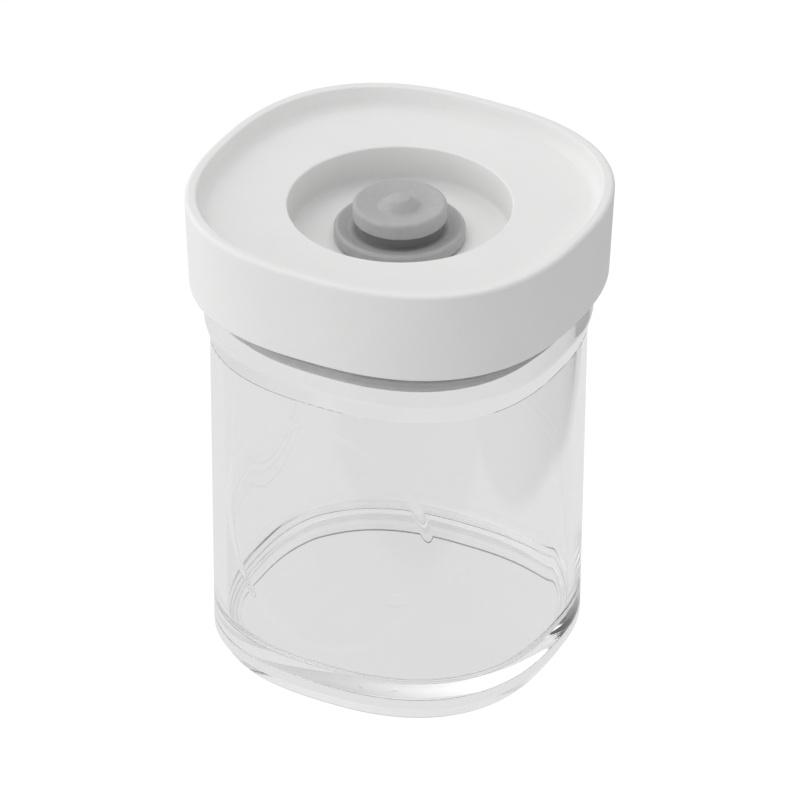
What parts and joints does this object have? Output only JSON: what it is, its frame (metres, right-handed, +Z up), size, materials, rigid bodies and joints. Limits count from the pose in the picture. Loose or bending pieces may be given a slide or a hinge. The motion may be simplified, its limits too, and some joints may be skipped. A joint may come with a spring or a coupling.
{
  "type": "spice container",
  "caption": "Clear square spice jar with bowed sides and a stacking foot, under a white lift-off lid with a dish, a round well, a sealing ring and a soft grey release valve.",
  "frame": {"origin": "middle of the foot, on the table", "axes": "+Z up through the lid's valve, X across the wider pair of side faces, Y along the narrower"},
  "size_m": [0.084, 0.0814, 0.1066],
  "materials": {
    "clear_plastic": "clear, polished",
    "white_plastic": "fine satin grain",
    "valve_silicone": "matt silicone",
    "gasket_silicone": "pale, matt silicone"
  },
  "bodies": {
    "jar": {"jar": "clear_plastic"},
    "lid": {"lid_cover": "white_plastic", "lid_plug": "white_plastic", "lid_gasket": "gasket_silicone"},
    "valve": {"valve": "valve_silicone"}
  },
  "joints": [
    {"name": "lid_lift", "type": "slide", "parent": "jar", "child": "lid", "axis": [0, 0, 1], "range_m": [0, 0.04]},
    {"name": "valve_lift", "type": "slide", "parent": "lid", "child": "valve", "axis": [0, 0, 1], "range_m": [0, 0.0018], "stiffness_N_per_m": 300}
  ]
}
